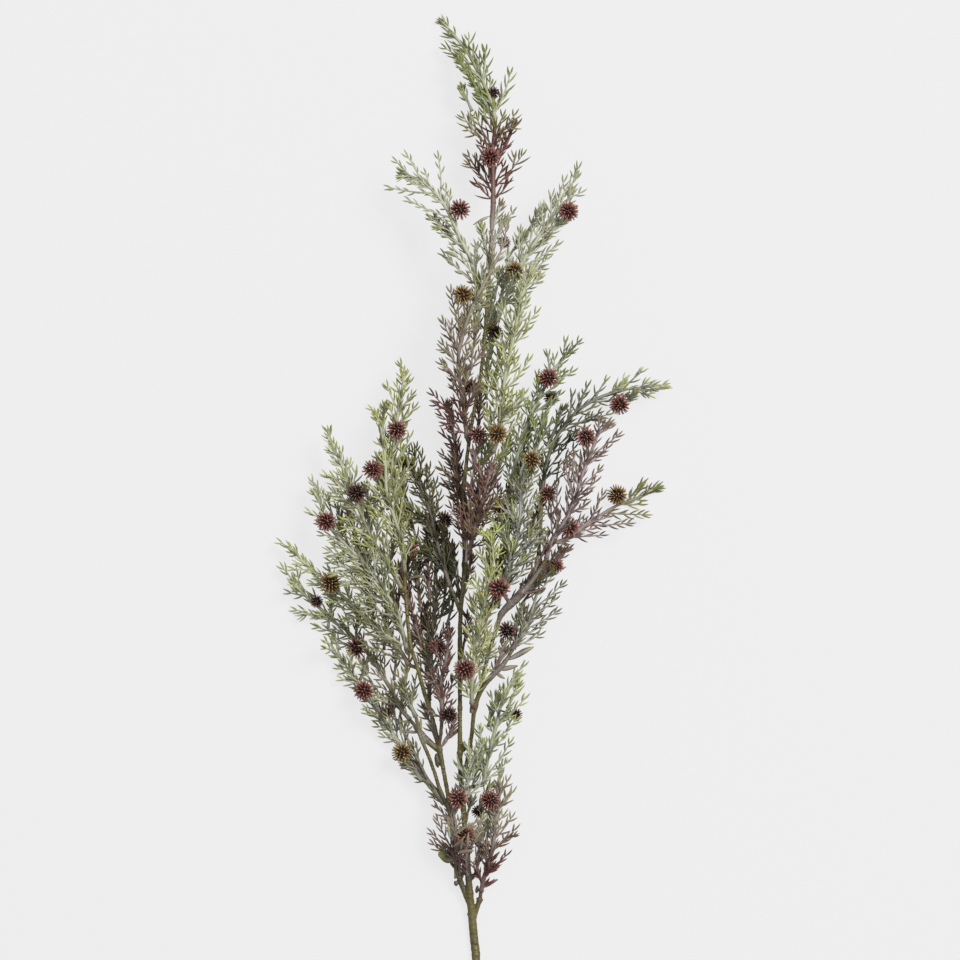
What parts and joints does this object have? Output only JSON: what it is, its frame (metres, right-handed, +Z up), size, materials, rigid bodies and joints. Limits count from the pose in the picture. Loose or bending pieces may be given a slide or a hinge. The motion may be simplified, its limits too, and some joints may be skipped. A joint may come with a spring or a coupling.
{
  "type": "juniper berry sprig",
  "caption": "Juniper sprig lying flat: a forked woody stem carries feathery needle shoots in green, grey and plum, with spiky burr-like berries on short stalks.",
  "frame": {"origin": "middle of the bounding box at the surface that the sprig lies on", "axes": "+Y from the cut end of the stem towards the leader's tip, +Z up from the surface, +X to the right as the picture shows it from above"},
  "size_m": [0.378, 0.9622, 0.1104],
  "materials": {
    "stem_bark": "satin, moulded bark with knots and collars",
    "leaf_olive": "satin, olive green needles with yellow-green tips",
    "leaf_lime": "satin, yellow-green needles, brightest at the tips",
    "leaf_green": "satin, mid green needles",
    "leaf_pale": "satin, pale frosted green needles",
    "leaf_grey": "satin, grey-green needles with a frosted bloom",
    "leaf_dark": "satin, dark green needles in the shade of the others",
    "leaf_mauve": "satin, greyed mauve-brown needles with green tips",
    "leaf_plum": "satin, plum-brown needles with a frosted bloom",
    "berry_brown": "satin, red-brown spikes",
    "berry_gold": "satin, gold-green spikes round a brown heart",
    "berry_dark": "satin, dark brown spikes"
  },
  "bodies": {
    "root": {"stem": "stem_bark", "leader_shoot": "leaf_olive", "upper_left_shoot": "leaf_olive", "upper_right_shoot": "leaf_olive", "crossing_shoot": "leaf_plum", "middle_front_shoot": "leaf_lime", "inner_plum_shoot": "leaf_plum", "right_upper_shoot": "leaf_green", "right_dark_shoot": "leaf_dark", "right_mauve_shoot": "leaf_mauve", "middle_grey_shoot": "leaf_grey", "lime_front_shoot": "leaf_lime", "right_low_shoot": "leaf_grey", "left_tall_shoot": "leaf_lime", "left_outer_upper_shoot": "leaf_lime", "left_outer_middle_shoot": "leaf_olive", "inner_left_dark_shoot": "leaf_dark", "left_outer_lower_shoot": "leaf_lime", "left_floor_shoot": "leaf_olive", "left_bottom_shoot": "leaf_olive", "inner_left_plum_shoot": "leaf_plum", "inner_back_dark_shoot": "leaf_dark", "left_small_shoot": "leaf_green", "right_bottom_shoot": "leaf_green", "pale_small_shoot": "leaf_pale", "bottom_right_shoot": "leaf_plum", "bottom_left_shoot": "leaf_plum", "berry_01": "berry_brown", "berry_02": "berry_brown", "berry_03": "berry_brown", "berry_04": "berry_gold", "berry_05": "berry_gold", "berry_06": "berry_dark", "berry_07": "berry_brown", "berry_08": "berry_gold", "berry_09": "berry_brown", "berry_10": "berry_gold", "berry_11": "berry_brown", "berry_12": "berry_brown", "berry_13": "berry_brown", "berry_14": "berry_brown", "berry_15": "berry_gold", "berry_16": "berry_brown", "berry_17": "berry_brown", "berry_18": "berry_brown", "berry_19": "berry_dark", "berry_20": "berry_brown", "berry_21": "berry_brown", "berry_22": "berry_dark", "berry_23": "berry_brown", "berry_24": "berry_dark", "berry_25": "berry_gold", "berry_26": "berry_brown", "berry_27": "berry_brown", "berry_28": "berry_gold", "berry_29": "berry_dark", "berry_30": "berry_brown", "berry_31": "berry_brown", "berry_32": "berry_brown", "berry_33": "berry_brown"}
  },
  "joints": []
}
